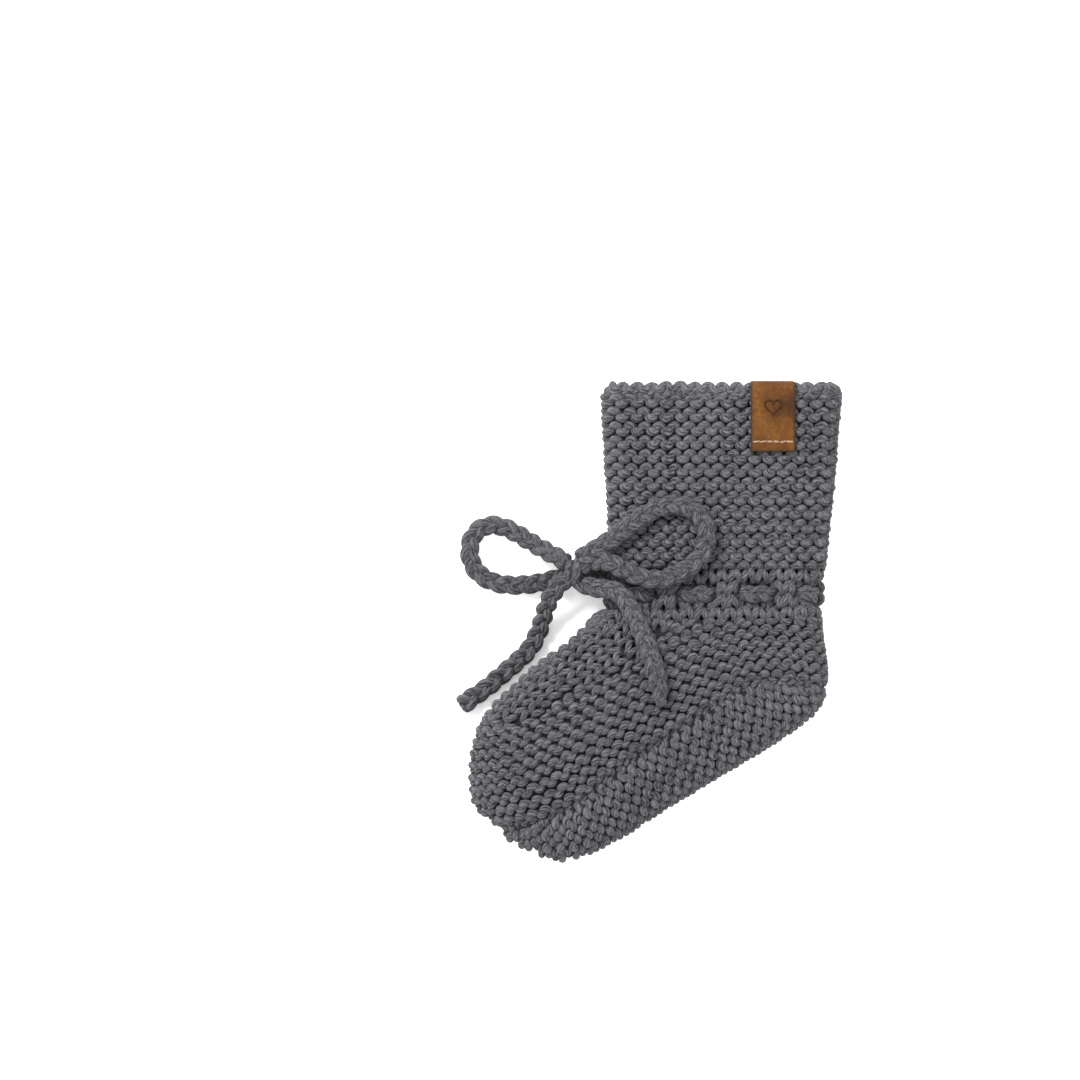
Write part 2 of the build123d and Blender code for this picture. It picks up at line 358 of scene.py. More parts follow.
def knit_row(yarns, line, stitches, kind, height, depth, bulge, radius, upward=1.0, closed=True,
             samples=12, anchor=0.5, phase=0.0, sink=None, warp=None, calm=0.0):
    """One row of loops along a line on the surface, given as points and normals. Kind "knit"
    shows its heads on the line, "purl" its feet, and "smooth" its legs, as in stocking stitch.
    An open row has the given phase where its share of the length is anchor, so that rows
    agree there, and its ends dip into the fabric. Sink gives, for points, how much deeper the
    row lies there, and warp moves its points. Calm evens the loops out round the anchor."""
    points, normals = line
    middle = points - normals * MID_DEPTH
    lengths = arc_lengths(middle)
    total = lengths[-1]
    pitch = total / stitches
    if closed:
        t = np.arange(stitches * samples) / samples
        angle = 2 * math.pi * t
    else:
        t = np.linspace(0, stitches, max(4, int(stitches * samples)) + 1)
        angle = 2 * math.pi * (t - anchor * stitches + phase)
    loops = stitches if closed else math.ceil(stitches) + 1

    def uneven(size):
        return per_sample(rng.uniform(-size, size, loops), t, closed)

    along = t * pitch + bulge * pitch * np.sin(2 * angle) * (1 + uneven(0.12))
    along += uneven(0.07) * pitch
    along = along % total if closed else np.clip(along, 0, total)
    base = at_lengths(middle, lengths, along)
    normal = unit(at_lengths(normals, lengths, along))
    if closed:
        loop = middle[:-1]
        tangents = np.roll(loop, -1, axis=0) - np.roll(loop, 1, axis=0)
        tangents = np.concatenate((tangents, tangents[:1]))
    else:
        tangents = np.gradient(middle, axis=0)
    tangent = unit(at_lengths(tangents, lengths, along))
    wale = np.cross(normal, tangent) * upward
    tall = height * (1 + uneven(0.12))
    lift_by = uneven(0.20)
    lean = uneven(0.20)
    quiet = calm * np.exp(-((along / total - anchor) * total / 3.2) ** 2)
    tall = tall * (1 - quiet)
    lift_by = lift_by + 0.7 * quiet
    if kind == "smooth":
        rise = tall * (np.cos(angle) + lean)
        out = -depth * np.cos(2 * angle) - 0.5 * np.maximum(np.cos(2 * angle), 0)
    else:
        face = 1 if kind == "knit" else -1
        rise = tall * (flattened(angle) - face + lean)
        out = face * depth * flattened(angle) * (1 - 0.7 * quiet)
    if not closed:
        lift_by = lift_by - 1.2 * np.exp(-(np.minimum(along, total - along) / 0.7) ** 2)
    centre = base + wale * rise[:, None]
    if sink is not None:
        lift_by = lift_by - sink(centre)
    centre = centre + normal * (out + lift_by)[:, None]
    if warp is not None:
        centre = warp(centre)
    thick = radius * (1 + 0.12 * out / depth + uneven(0.06))
    yarns.add(centre, normal, thick, closed=closed)


# ---- materials ----
class Nodes:
    """A short way to build a node tree."""

    def __init__(self, name):
        self.material = bpy.data.materials.new(name)
        self.material.use_nodes = True
        self.tree = self.material.node_tree
        self.shader = self.tree.nodes["Principled BSDF"]
        self.where = self.node("ShaderNodeTexCoord").outputs["Object"]

    def node(self, kind, inputs=None, **settings):
        made = self.tree.nodes.new(kind)
        for key, value in settings.items():
            setattr(made, key, value)
        for key, value in (inputs or {}).items():
            if isinstance(value, bpy.types.NodeSocket):
                self.tree.links.new(value, made.inputs[key])
            else:
                made.inputs[key].default_value = value
        return made

    def math(self, operation, a, b=0.0):
        return self.node("ShaderNodeMath", {0: a, 1: b}, operation=operation).outputs[0]

    def noise(self, place, scale, detail=2.0, roughness=0.5):
        return self.node("ShaderNodeTexNoise", {"Vector": place, "Scale": scale, "Detail": detail,
                                                "Roughness": roughness}).outputs["Fac"]

    def ramp(self, factor, stops):
        made = self.node("ShaderNodeValToRGB", {"Fac": factor})
        while len(made.color_ramp.elements) < len(stops):
            made.color_ramp.elements.new(0.5)
        for element, (position, color) in zip(made.color_ramp.elements, stops):
            element.position = position
            element.color = (*color, 1)
        return made.outputs["Color"]

    def finish(self, colour, roughness, specular, bump=None):
        """Wires the shader and returns the material."""
        self.tree.links.new(colour, self.shader.inputs["Base Color"])
        if bump:
            self.tree.links.new(bump.outputs["Normal"], self.shader.inputs["Normal"])
        self.shader.inputs["Roughness"].default_value = roughness
        self.shader.inputs["Specular IOR Level"].default_value = specular
        return self.material


def yarn_material(name, dark, light, plies=6, lay=0.60, strength=0.7):
    """Plied wool. The yarn's own coordinates are millimetres along it and turns around it."""
    n = Nodes(name)
    uv = n.node("ShaderNodeUVMap", uv_map="yarn").outputs["UV"]
    split = n.node("ShaderNodeSeparateXYZ", {"Vector": uv})
    twisted = n.math("ADD", split.outputs["Y"], n.math("MULTIPLY", split.outputs["X"], lay / plies))
    ply = n.math("SINE", n.math("MULTIPLY", twisted, 2 * math.pi * plies))
    ply = n.math("MULTIPLY_ADD", ply, 0.5)
    ply.node.inputs[2].default_value = 0.5
    strands = n.node("ShaderNodeCombineXYZ", {
        "X": n.math("MULTIPLY", split.outputs["X"], 0.42),
        "Y": n.math("MULTIPLY", twisted, 8.5), "Z": 0.0})
    # The place itself, in units of about 24 mm, keeps one yarn's fibres unlike the next one's.
    shift = n.node("ShaderNodeVectorMath", {0: n.where, 1: (42, 42, 42)}, operation="MULTIPLY")
    fibre_place = n.node("ShaderNodeVectorMath", {0: strands.outputs[0], 1: shift.outputs[0]},
                         operation="ADD").outputs[0]
    fibres = n.noise(fibre_place, 2.6, 3.0, 0.65)
    patches = n.noise(n.where, 160.0)
    shade = n.math("ADD", n.math("MULTIPLY", ply, 0.08),
                   n.math("ADD", n.math("MULTIPLY", fibres, 1.25), n.math("MULTIPLY", patches, 0.10)))
    colour = n.ramp(shade, ((0.54, dark), (0.89, light)))
    height = n.math("ADD", n.math("MULTIPLY", ply, 0.45), n.math("MULTIPLY", fibres, 1.0))
    bump = n.node("ShaderNodeBump", {"Height": height, "Strength": strength, "Distance": 0.0008})
    n.shader.inputs["Sheen Weight"].default_value = 0.05
    n.shader.inputs["Sheen Roughness"].default_value = 0.5
    return n.finish(colour, 0.85, 0.20, bump)


WOOL = yarn_material("wool", (0.0050, 0.0050, 0.0060), (0.104, 0.1025, 0.1135), strength=0.85)
# Near-black yarn for the shells inside the fabric: painted shade for the dark gaps between loops.
GAP_SHADE = yarn_material("wool_painted_gap_shade", (0.003, 0.003, 0.0035), (0.007, 0.007, 0.008))

# ---- rows in plan ----
LEG_SECTIONS = 150       # enough of the outline, from the mouth down, to hold every level row


def outline_index(line, y):
    """Where a falling outline passes height y, as a fractional section."""
    return np.interp(-y, -line[:LEG_SECTIONS, 1], np.arange(LEG_SECTIONS))


def on_outline(line, index):
    return at_lengths(line, np.arange(len(line)), np.atleast_1d(index))[0]


def level_row(y):
    """The line in plan, front to back, at height y of the leg."""
    return np.array((on_outline(FRONT, outline_index(FRONT, y)), on_outline(BACK, outline_index(BACK, y))))


CORNER = 3.4             # of the cuff's rounded corners


def leg_row(y):
    """A level row, drawn in where the mouth's corners round off."""
    ends = level_row(y)
    share = np.clip((y - (CUFF_TOP - CORNER)) / CORNER, 0, 1)
    pull = 2.2 * share ** 2
    return ends + np.array(((pull, 0), (-pull, 0)))


def nearest_on(line, point):
    return line[np.linalg.norm(line - np.asarray(point), axis=1).argmin()]


def row_length(line):
    return arc_lengths(line[0])[-1]


def garter(yarns, kind, line, stitches, ridge, closed, sink=None, radius=1.14, phase=0.0, anchor=0.5,
           arch=1.0, calm=0.0):
    """Half a ridge of garter stitch."""
    height, depth, thick = (0.19, 1.15, 1.04) if kind == "purl" else (0.16, 1.00, 0.94)
    knit_row(yarns, line, stitches, kind, height * arch * ridge, depth, 0.0, thick * radius, closed=closed,
             phase=phase, anchor=anchor, sink=sink, calm=calm)


# ---- leg: garter stitch, rows level ----
LEG_RIDGE = 3.9
LEG_STITCHES = 33
leg = Yarns()
y = BAND_TOP + 1.6
while y < CUFF_TOP - 2.6:
    garter(leg, "knit", over_and_under(leg_row(y), True), LEG_STITCHES, LEG_RIDGE, True)
    garter(leg, "purl", over_and_under(leg_row(y + LEG_RIDGE / 2), True), LEG_STITCHES, LEG_RIDGE, True)
    y += LEG_RIDGE
cuff = leg.build("leg_knitting", WOOL, "leg")
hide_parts("cuff")


def twisted_pair(yarns, points, normals, radius, apart, pitch):
    """Two strands twisted round each other along a closed line."""
    lengths = arc_lengths(points)
    total = lengths[-1]
    turns = round(total / pitch)
    along = np.linspace(0, total, int(total * 2.2), endpoint=False)
    base = at_lengths(points, lengths, along)
    normal = unit(at_lengths(normals, lengths, along))
    across = np.cross(unit(np.gradient(base, axis=0)), normal)
    angle = 2 * math.pi * turns * along / total
    for start in (0, math.pi):
        swing = (np.cos(angle + start)[:, None] * across + np.sin(angle + start)[:, None] * normal) * apart
        yarns.add(base + swing, normal, radius, closed=True)


edge = Yarns()
points, normals = over_and_under(leg_row(CUFF_TOP - 1.5), True)
twisted_pair(edge, points - normals * MID_DEPTH, normals, 1.12, 0.85, 4.6)
cast_on = edge.build("cast_on_edge", WOOL, "leg")
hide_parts("cuff_edge")


# ---- ankle band: stocking stitch with the cord woven through ----
CORD_Y = 8.2
UPPER_WINDOWS = (-5.5, 11.0, 27.8, 44.0)
LOWER_WINDOWS = (33.0, 16.0, -1.0)
WINDOW = 9.4
BAND_MIDDLE_Z = 8.4


def in_window(x, upper):
    """1 in the middle of an eyelet, 0 between eyelets, along the band."""
    centres = np.array(UPPER_WINDOWS if upper else LOWER_WINDOWS)
    gap = np.abs(np.asarray(x)[:, None] - centres[None]).min(axis=1)
    return np.clip((WINDOW / 2 + 0.9 - gap) / 1.8, 0, 1)


def near_cord(y, reach):
    return np.exp(-((y - CORD_Y) / reach) ** 4)


def under_the_cord(places):
    """The band lies deeper where the cord shows, and crosses over it between the eyelets."""
    upper = places[:, 2] > BAND_MIDDLE_Z
    share = np.where(upper, in_window(places[:, 0], True), in_window(places[:, 0], False))
    return 3.2 * share * near_cord(places[:, 1], 3.0) - 0.9 * (1 - share) * near_cord(places[:, 1], 3.0)


def drawn_together(places):
    """Between eyelets the stitches are drawn together over the cord."""
    result = places.copy()
    for upper, windows in ((True, UPPER_WINDOWS), (False, LOWER_WINDOWS[::-1])):
        columns = (np.array(windows[1:]) + np.array(windows[:-1])) / 2
        offset = places[:, 0][:, None] - columns[None]
        offset = offset[np.arange(len(places)), np.abs(offset).argmin(axis=1)]
        on_side = (places[:, 2] > BAND_MIDDLE_Z) == upper
        pull = 0.34 * offset * near_cord(places[:, 1], 2.6) * (np.abs(offset) < 5.5) * on_side
        result[:, 0] -= pull
    return result


BAND_ROWS = 4
BAND_STITCHES = 33
band = Yarns()
spacing = (BAND_TOP - BAND_BOTTOM) / BAND_ROWS
for k in range(BAND_ROWS):
    y = BAND_BOTTOM + (k + 0.5) * spacing
    knit_row(band, over_and_under(level_row(y), True), BAND_STITCHES, "smooth", 0.60 * spacing, 0.95, 0.24,
             0.96, samples=20, sink=under_the_cord, warp=drawn_together)
ankle = band.build("ankle_band_knitting", WOOL, None)
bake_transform(ankle)
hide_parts("ankle_band", "back_seam_ankle")

# ---- foot wall: garter rounds, level at the heel and slanting down to the toe ----
GROOVE = ((47.4, -17.8), (34.5, -15.8), (26.9, -16.4), (16.9, -22.0), (3.2, -31.1), (-12.3, -41.6),
          (-21.4, -49.6), (-30.7, -54.2), (-45.6, -57.6))
HIGH_RAIL = ((47.5, 15.4), (36.0, 17.0), (17.0, 14.8), (0.0, 7.0), (-15.0, -3.4), (-28.0, -13.0),
             (-36.0, -19.6), (-41.6, -23.4), (-47.6, -24.3))
FLAP_EDGE = ((4.1, -1.3), (-6.9, -12.7), (-26.7, -19.8), (-36.6, -28.7), (-48.5, -24.0))
RAIL_POINTS = 160
groove = smooth_line(GROOVE, RAIL_POINTS)
high_rail = smooth_line(HIGH_RAIL, RAIL_POINTS)
flap_curve = smooth_line(FLAP_EDGE, RAIL_POINTS)
wall_top_x = np.concatenate(((-70.0,), flap_curve[::-1, 0], (4.15, 70.0)))
wall_top_y = np.concatenate(((-16.0,), flap_curve[::-1, 1], (BAND_BOTTOM, BAND_BOTTOM)))
outline = resample(np.concatenate((FRONT, BACK[::-1])), 3000)
outline_lengths = arc_lengths(outline)


def outline_place(point):
    return outline_lengths[np.linalg.norm(outline - np.asarray(point), axis=1).argmin()]


TOE_TOP = outline_place(HIGH_RAIL[-1])
TOE_GROOVE = outline_place(GROOVE[-1])
HEEL_TOP = outline_place(on_outline(BACK, outline_index(BACK, HIGH_RAIL[0][1])))
HEEL_GROOVE = outline_place(GROOVE[0])


def on_edge(place):
    return at_lengths(outline, outline_lengths, np.array([place]))[0]


def wall_row(share):
    """The round's line in plan, from heel to toe; share is 0 at the groove and 1 at the top."""
    line = (1 - share) * groove + share * high_rail
    toe = on_edge(TOE_GROOVE + share * (TOE_TOP - TOE_GROOVE))
    heel = on_edge(HEEL_GROOVE + share * (HEEL_TOP - HEEL_GROOVE))
    f = np.linspace(0, 1, len(line))[:, None]
    return line + f ** 3 * (toe - line[-1]) + (1 - f) ** 6 * (heel - line[0])


FOOT_RIDGE = 3.15
WALL_HEIGHT = 33.0
FOOT_PITCH = 4.0
SCALLOP = 5.3
SCALLOPS = 7


def foot_relief(places):
    """The fabric dips towards the groove that joins it to the sole, and the toe's lower edge
    puckers into scallops."""
    gap = np.linalg.norm(places[:, None, :2] - groove[None, ::4], axis=2).min(axis=1)
    away = np.linalg.norm(places[:, None, :2] - outline[None, ::8], axis=2)
    nearest = 8 * away.argmin(axis=1)
    along = (outline_lengths[nearest] - TOE_GROOVE) / SCALLOP + 1.5
    pucker = (1 - np.abs(np.sin(math.pi * along))) ** 1.4 * ((along > 0) & (along < SCALLOPS))
    away = away.min(axis=1)
    dip = 1.7 * np.exp(-(gap / 1.9) ** 2) * np.clip(away / 5.0, 0, 1)
    return dip + 1.9 * pucker * np.exp(-(away / 5.0) ** 2)


def stretches(inside):
    """First and last sample of each unbroken stretch that is inside."""
    edges = np.flatnonzero(np.diff(np.concatenate(((0,), inside.astype(int), (0,)))))
    return list(zip(edges[::2], edges[1::2] - 1))


def one_side(plan, side):
    """A row over one side only, between two places away from the outline."""
    return lift(resample(plan, max(8, int(arc_lengths(plan)[-1]))), side)


wall = Yarns()
WALL_STITCHES = 60
half_rows = int(2 * WALL_HEIGHT / FOOT_RIDGE) + 1
for k in range(half_rows):
    share = (0.35 + k * 0.5 - 0.05 * (k % 2)) * FOOT_RIDGE / WALL_HEIGHT
    plan = wall_row(share)
    inside = plan[:, 1] < np.interp(plan[:, 0], wall_top_x, wall_top_y) + 0.5
    kind = "purl" if k % 2 else "knit"
    for first, last in stretches(inside):
        part = plan[first:last + 1]
        if last - first < 3:
            continue
        if first == 0 and last == len(plan) - 1:
            lines, closed = [over_and_under(part, True)], True
        elif last == len(plan) - 1:
            lines, closed = [over_and_under(part, False)], False
        elif first == 0:
            lines, closed = [over_and_under(part[::-1], False)], False
        else:
            lines, closed = [one_side(part, 1), one_side(part, -1)], False
        for line in lines:
            stitches = row_length(line) / FOOT_PITCH
            anchor, phase = 0.5, 0.0
            if closed:
                stitches = WALL_STITCHES
            elif len(lines) == 2:
                anchor, phase = 1.0, -arc_lengths(plan[last:])[-1] / FOOT_PITCH
            garter(wall, kind, line, stitches, FOOT_RIDGE, closed, foot_relief, 0.98, phase, anchor)
foot_wall = wall.build("foot_wall_knitting", WOOL, "foot")
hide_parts("foot_wall")


def spread_lines(pairs):
    """Pairs of line ends in plan, spread smoothly into many: two places in each row."""
    ends = np.array([(*inner, *outer) for inner, outer in pairs])
    spans = np.linalg.norm(np.diff(ends[:, :2] + ends[:, 2:], axis=0), axis=1)
    return natural_spline(ends, spans, 24)


# ---- sole: garter ridges across the foot ----
SOLE_PAIRS = (
    # on the groove, and on the outline
    ((46.6, -17.6), (47.6, -18.9)), ((38.0, -16.2), (46.4, -22.8)), ((30.0, -15.9), (40.5, -28.9)),
    ((20.0, -19.9), (31.5, -35.0)), ((10.0, -26.6), (20.5, -41.5)), ((0.0, -33.3), (10.5, -47.7)),
    ((-10.0, -40.0), (-0.5, -54.3)), ((-18.0, -46.6), (-10.5, -60.7)), ((-24.5, -51.6), (-19.5, -65.3)),
    ((-30.7, -54.2), (-29.0, -66.7)), ((-37.0, -55.9), (-37.0, -63.7)), ((-43.5, -57.2), (-43.0, -60.2)))
SOLE_RIDGE = 3.5
SOLE_PITCH = 4.4
sole_lines = spread_lines(SOLE_PAIRS)
sole_lengths = arc_lengths(sole_lines[:, :2] + sole_lines[:, 2:]) / 2
sole = Yarns()
sole_rows = int(2 * sole_lengths[-1] / SOLE_RIDGE)
for k in range(sole_rows + 1):
    ends = at_lengths(sole_lines, sole_lengths, np.array([sole_lengths[-1] * k / sole_rows]))[0]
    start, end = ends[:2], nearest_on(outline, ends[2:])
    start = start + 0.1 * (end - start) / np.linalg.norm(end - start)
    line = over_and_under(np.array((start, end)), False)
    garter(sole, "purl" if k % 2 else "knit", line, row_length(line) / SOLE_PITCH, SOLE_RIDGE, False,
           foot_relief, 1.06, phase=0.25, arch=0.85, calm=0.9)
sole_piece = sole.build("sole_knitting", WOOL, "foot")
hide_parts("sole")

# ---- seam in the groove ----
seam = Yarns()
points, normals = over_and_under(wall_row(0.0), True)
twisted_pair(seam, points - normals * 3.0, normals, 0.9, 0.6, 5.2)
seam_piece = seam.build("sole_seam_yarn", WOOL, "foot")
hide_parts("sole_seam")

# ---- instep flap: stocking stitch, columns along the foot ----
FLAP_PAIRS = (
    # on the flap's edge, and on the front outline
    ((4.6, 0.4), (-16.2, 3.0)), ((2.6, -3.9), (-17.2, 2.2)), ((-6.6, -12.0), (-18.8, 0.8)),
    ((-15.0, -15.2), (-24.0, -4.3)), ((-25.6, -18.9), (-32.6, -10.7)), ((-31.4, -23.0), (-38.0, -15.1)),
    ((-36.0, -27.6), (-43.0, -19.8)), ((-40.4, -27.2), (-45.2, -22.2)), ((-44.2, -26.2), (-47.5, -24.9)))
FLAP_ROW = 3.25
FLAP_PITCH = 4.5
flap_lines = spread_lines(FLAP_PAIRS)
flap_middle = (flap_lines[:, :2] + 1.2 * flap_lines[:, 2:]) / 2.2
flap_lengths = arc_lengths(flap_middle)
flap_rows = int(flap_lengths[-1] / FLAP_ROW)
spread = flap_lengths[-1] / flap_rows


def flap_relief(places):
    """Minus what the flap stands proud near the outline."""
    away = np.linalg.norm(places[:, None, :2] - outline[None, ::8], axis=2).min(axis=1)
    return -0.2 - 0.3 * np.exp(-(away / 3.0) ** 2)


flap = Yarns()
for k in range(flap_rows + 1):
    ends = at_lengths(flap_lines, flap_lengths, np.array([flap_lengths[-1] * k / flap_rows]))[0]
    line = over_and_under(np.array((ends[:2], nearest_on(outline, ends[2:]))), False)
    stitches = row_length(line) / FLAP_PITCH
    knit_row(flap, line, stitches, "smooth", 0.60 * spread, 1.20, 0.22, 0.86, upward=-1.0, closed=False,
             samples=20, phase=0.25, sink=flap_relief)
flap_piece = flap.build("instep_flap_knitting", WOOL, "foot")
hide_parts("instep_flap")


# ---- painted shade: thin near-black shells between the loops' two faces, standing in for the shade seen through the gaps between loops ----
def gap_shade_shell(name, rings, body):
    """A thin closed shell through rings of points and normals, in the near-black painted-shade material."""
    around = 120
    layers = []
    for depth in (MID_DEPTH - 0.1, MID_DEPTH + 0.5):
        layer = []
        for points, normals in rings:
            lowered = np.concatenate((points, normals), axis=1)[:-1]
            lowered = np.concatenate((lowered, lowered[:1]))
            lengths = arc_lengths(lowered[:, :3])
            even = at_lengths(lowered, lengths, np.linspace(0, lengths[-1], around, endpoint=False))
            layer.append(even[:, :3] - depth * even[:, 3:])
        layers.append(layer)
    stack = layers[0] + layers[1][::-1]
    return new_object(name, np.concatenate(stack), ring_quads(len(stack), around, True), None, GAP_SHADE, body)


leg_gap_shade = gap_shade_shell("leg_gap_shade", [over_and_under(level_row(y), True)
                             for y in np.linspace(BAND_TOP, CUFF_TOP - 2.0, 26)], "leg")
band_gap_shade = gap_shade_shell("band_gap_shade", [(p - n * 0.9, n) for p, n in (
    over_and_under(level_row(y), True) for y in np.linspace(BAND_BOTTOM, BAND_TOP, 9))], None)
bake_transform(band_gap_shade)
front_from, back_from = outline_index(FRONT, BAND_BOTTOM), outline_index(BACK, BAND_BOTTOM)
foot_rings = []
last = len(FRONT) - 6
for f in np.linspace(0, 1, 60):
    ends = np.array((on_outline(FRONT, front_from + f * (last - front_from)),
                     on_outline(BACK, back_from + f * (last - back_from))))
    foot_rings.append(over_and_under(ends, True))
foot_gap_shade = gap_shade_shell("foot_gap_shade", foot_rings, "foot")

# ---- back seam ----

def back_seam(name, y_from, y_to, body, *replaced):
    ys = np.linspace(y_from, y_to, int((y_to - y_from) / 0.45))
    index = np.array([outline_index(BACK, y) for y in ys])
    place = np.ones(len(ys))     # the back end of the chord
    points = look_up(GRID[1], index, place)
    normals = unit(look_up(NORMAL[1], index, place))
    swing = np.sin(2 * math.pi * ys / LEG_RIDGE)
    points = points - normals * 0.9 + np.array((0, 0, 1)) * (0.9 * swing)[:, None]
    strand = Yarns()
    strand.add(points, normals, 0.85)
    piece = strand.build(name, WOOL, body)
    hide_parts(*replaced)
    return piece


back_seam("back_seam_leg_yarn", BAND_TOP, CUFF_TOP - 1.5, "leg", "back_seam_cuff")
back_seam("back_seam_heel_yarn", -16.5, BAND_BOTTOM, "foot", "back_seam_heel")


# ---- braided cord ----
BRAID_PERIOD = 12.6
STRAND_RADIUS = 1.30
STRAND_SWING = 1.5
STRAND_LIFT = 0.85
END_LENGTH = 5.0
UP = np.array((0.0, 0.0, 1.0))


def nurbs_path(name, points):
    """Points along the smooth curve that the route's points control."""
    curve = bpy.data.curves.new(name, "CURVE")
    curve.dimensions = "3D"
    curve.resolution_u = 24
    spline = curve.splines.new("NURBS")
    spline.points.add(len(points) - 1)
    for point, place in zip(spline.points, points):
        point.co = (*[v * MM for v in place], 1)
    spline.order_u = 3
    spline.use_endpoint_u = True
    holder = bpy.data.objects.new(name, curve)
    bpy.context.scene.collection.objects.link(holder)
    mesh = bpy.data.meshes.new_from_object(holder.evaluated_get(bpy.context.evaluated_depsgraph_get()))
    path = np.array([v.co[:] for v in mesh.vertices]) / MM
    bpy.data.meshes.remove(mesh)
    bpy.data.objects.remove(holder)
    bpy.data.curves.remove(curve)
    return path


def plait(yarns, path, along, across, normal, swing, rise, radius, taper):
    """Three strands that swing across a path and pass over each other."""
    for k in range(3):
        angle = 2 * math.pi * (along / BRAID_PERIOD + k / 3)
        centre = (path + across * (swing * np.sin(angle))[:, None]
                  + normal * (rise * np.sin(2 * angle))[:, None])
        yarns.add(centre, normal, radius, taper=taper)


def braid(yarns, path, end_scale):
    """Three strands plaited along a path, whose end is drawn in or spread by end_scale."""
    total = arc_lengths(path)[-1]
    path = resample(path, max(12, int(total * 2.4)))
    along = arc_lengths(path)
    tangent = unit(np.gradient(path, axis=0))
    across = unit(np.cross(tangent, UP))
    normal = np.cross(across, tangent)
    scale = np.interp(along, (total - END_LENGTH, total), (1, end_scale))
    plait(yarns, path, along, across, normal, STRAND_SWING * scale, STRAND_LIFT * scale,
          STRAND_RADIUS * (0.45 + 0.55 * scale), 0.55)


ROUTES = {
    "tie_left_loop": (
        (-25.4, 17.4, 9.8), (-30.7, 20.2, 7.8), (-36.4, 23.6, 4.6), (-42.0, 27.0, 2.7),
        (-47.2, 28.0, 2.5), (-51.4, 25.4, 2.5), (-52.8, 20.6, 2.5), (-51.6, 15.6, 2.5),
        (-48.0, 12.2, 2.5), (-42.0, 10.5, 2.5), (-35.2, 10.9, 2.6), (-29.8, 11.9, 3.2),
        (-25.6, 13.2, 4.4)),
    "tie_left_tail": (
        (-25.4, 12.6, 9.8), (-28.7, 9.4, 9.4), (-31.0, 4.2, 6.2), (-32.6, -1.6, 3.0),
        (-35.2, -7.2, 2.6), (-39.4, -11.2, 2.5), (-43.8, -14.9, 2.6), (-48.2, -18.8, 2.6),
        (-54.4, -22.8, 2.6)),
    "tie_right_loop": (
        (-21.0, 18.4, 12.2), (-16.8, 21.0, 15.6), (-10.8, 24.8, 17.6), (-5.6, 29.2, 17.5),
        (0.2, 32.6, 17.9), (6.2, 33.6, 18.4), (11.2, 31.4, 18.7), (14.0, 27.0, 18.9),
        (13.9, 21.8, 19.0), (11.2, 17.4, 19.0), (6.0, 13.8, 18.7), (-0.2, 11.9, 18.1),
        (-6.6, 13.6, 17.9), (-11.9, 16.7, 16.9), (-16.0, 18.3, 14.6), (-20.4, 16.4, 11.8)),
    "tie_right_tail": (
        (-22.2, 12.2, 9.4), (-19.2, 10.3, 11.2), (-15.2, 9.8, 14.6), (-10.8, 9.2, 18.2),
        (-7.6, 5.0, 20.4), (-4.6, -1.6, 24.0), (-2.4, -7.0, 26.9), (-0.8, -12.2, 28.7),
        (0.2, -16.8, 29.4), (1.1, -22.0, 29.1)),
}
CORD_ENDS = {
    # length in metres, where the far end is, and how far the plait spreads there
    "tie_left_loop": (0.068, "object", 1.0),
    "tie_left_tail": (0.049, "bare", 1.12),
    "tie_right_loop": (0.088, "object", 1.0),
    "tie_right_tail": (0.050, "bare", 0.45)}
CORD = yarn_material("cord_wool", (0.0040, 0.0040, 0.0050), (0.094, 0.0925, 0.1025), lay=0.36, strength=1.0)
for name, route in ROUTES.items():
    path = nurbs_path(name + "_line", route)
    strands = Yarns()
    length, far_end, end_scale = CORD_ENDS[name]
    braid(strands, path, end_scale)
    piece = strands.build(name + "_braid", CORD, "foot")
    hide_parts(name)

# The knot: the cord wraps once round where the loops and tails meet.
KNOT = np.array((-22.8, 14.7, 8.8))
wrap = Yarns()
turn = np.linspace(0, 2 * math.pi, 36, endpoint=False)
outward = np.stack((np.zeros(36), np.sin(turn), np.cos(turn)), axis=1)
for shift, lean, size in ((0.5, 0.5, 0.95), (-1.7, 0.2, 0.66)):
    ring = KNOT + outward * (3.9 * size, 3.4 * size, 4.3 * size)
    ring[:, 0] += shift + lean * np.sin(turn)
    wrap.add(ring, outward, 1.3, closed=True)
for offset, radius in (((0.4, 1.4, 0.2), 2.0), ((1.4, -1.6, -0.4), 2.0), ((-0.8, 0.0, -1.4), 2.2)):
    across_knot = KNOT + offset + np.linspace(-2.8, 2.8, 10)[:, None] * (1.0, 0.25, 0.1)
    wrap.add(across_knot, np.tile(UP, (10, 1)), radius * np.sin(np.linspace(0.5, math.pi - 0.5, 10)))
knot = wrap.build("bow_knot_wrap", CORD, "foot")
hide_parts("bow_knot")

# The cord in the band shows in the eyelets and dips behind the stitches between them.
DRAWCORD_ROUTE = (
    (-19.8, 15.2, 8.6), (-16.0, 14.4, 9.2), (-11.4, 10.4, 10.8), (-5.0, 8.2, 12.6), (4.5, 8.2, 14.0),
    (14.0, 8.2, 14.5), (23.5, 8.2, 14.3), (31.5, 8.2, 13.6), (38.0, 8.2, 12.7), (42.6, 8.2, 11.4),
    (44.3, 8.2, 8.2), (42.8, 8.2, 4.6), (38.0, 8.2, 3.0), (30.5, 8.2, 2.7), (21.0, 8.2, 2.5),
    (11.5, 8.2, 2.55), (2.5, 8.2, 2.7), (-5.0, 8.2, 3.1), (-11.5, 8.6, 4.0), (-16.4, 11.2, 4.1),
    (-19.8, 14.0, 4.1))
path = nurbs_path("drawcord_line", DRAWCORD_ROUTE)
path = resample(path, 420)
along = arc_lengths(path)
tangent = unit(np.gradient(path, axis=0))
facing = unit(np.cross(tangent, (0.0, 1.0, 0.0)))
if facing[100, 2] < 0:
    facing = -facing
top = path[:, 2] > 8.2
shown = np.where(top, in_window(path[:, 0], True), in_window(path[:, 0], False))
